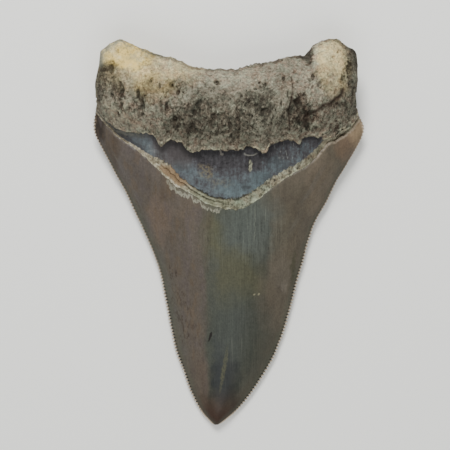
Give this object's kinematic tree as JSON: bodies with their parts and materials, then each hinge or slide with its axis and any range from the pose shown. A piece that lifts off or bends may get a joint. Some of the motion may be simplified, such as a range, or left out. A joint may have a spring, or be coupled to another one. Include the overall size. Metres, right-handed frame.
{
  "type": "megalodon tooth",
  "caption": "Fossil megalodon tooth with a pitted bilobed root, dark chevron bourlette, chipped enamel edge and a serrated grey triangular crown, lying on its flat side.",
  "frame": {"origin": "centre of the tooth's outline seen from above, on the plane its flat labial face rests on", "axes": "+Y from the tip towards the root, +Z out of the domed lingual face, +X to the right seen from above with the root away"},
  "size_m": [0.077, 0.11, 0.0212],
  "materials": {
    "fossil": "satin grey enamel, matt tan and grey pitted root"
  },
  "bodies": {
    "root": {"megalodon_tooth": "fossil"}
  },
  "joints": []
}
